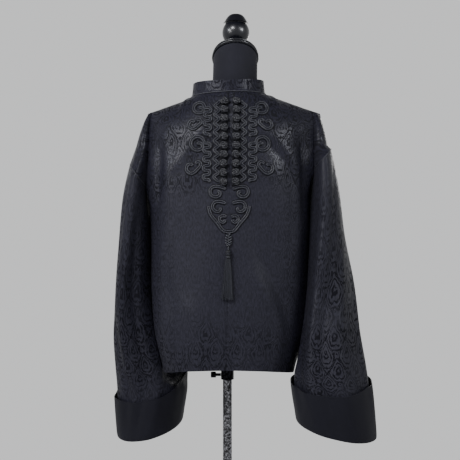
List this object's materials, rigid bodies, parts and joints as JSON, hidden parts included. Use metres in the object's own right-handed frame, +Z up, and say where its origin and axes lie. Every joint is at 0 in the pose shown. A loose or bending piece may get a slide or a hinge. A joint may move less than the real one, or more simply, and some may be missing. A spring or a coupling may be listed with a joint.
{
  "type": "tang jacket on a limbless dress form stand",
  "caption": "Stand-collar tang jacket in dark damask with wide turned cuffs, corded scrollwork, ball knots and a tassel down the back, worn by a limbless dress form on a steel pole stand.",
  "frame": {"origin": "on the floor under the middle of the stand's pole", "axes": "+Z up; the jacket's back faces -Y and its front +Y; -X is the jacket's left as seen from behind"},
  "size_m": [0.62, 0.3609, 1.5174],
  "materials": {
    "jacquard": "tone-on-tone damask, satin sheen",
    "cuff_cloth": "plain, matt",
    "cord": "satin rouleau cord",
    "form_jersey": "matt jersey cover",
    "black_wood": "gloss black lacquer",
    "steel": "satin"
  },
  "bodies": {
    "root": {"back_left": "jacquard", "back_right": "jacquard", "base": "steel", "collar": "jacquard", "cord_braid": "cord", "cord_inner_left": "cord", "cord_inner_right": "cord", "cord_lower_curl_left": "cord", "cord_lower_curl_right": "cord", "cord_mid_hook_left": "cord", "cord_mid_hook_right": "cord", "cord_mid_left": "cord", "cord_mid_right": "cord", "cord_tip_curl_left": "cord", "cord_tip_curl_right": "cord", "cord_top_hook_left": "cord", "cord_top_hook_right": "cord", "cord_top_left": "cord", "cord_top_right": "cord", "cord_upper_curl_left": "cord", "cord_upper_curl_right": "cord", "cord_vee": "cord", "cuff_left": "cuff_cloth", "cuff_right": "cuff_cloth", "finial": "black_wood", "form": "form_jersey", "frog_1": "cord", "frog_2": "cord", "frog_3": "cord", "frog_4": "cord", "frog_5": "cord", "front_left": "jacquard", "front_right": "jacquard", "knot_left_01": "cord", "knot_left_02": "cord", "knot_left_03": "cord", "knot_left_04": "cord", "knot_left_05": "cord", "knot_left_06": "cord", "knot_left_07": "cord", "knot_left_08": "cord", "knot_left_09": "cord", "knot_left_10": "cord", "knot_right_01": "cord", "knot_right_02": "cord", "knot_right_03": "cord", "knot_right_04": "cord", "knot_right_05": "cord", "knot_right_06": "cord", "knot_right_07": "cord", "knot_right_08": "cord", "knot_right_09": "cord", "knot_right_10": "cord", "neck_cap": "black_wood", "pole": "steel", "sleeve_left": "jacquard", "sleeve_right": "jacquard", "socket": "steel", "tassel": "cord", "thumbscrew": "steel"}
  },
  "joints": []
}
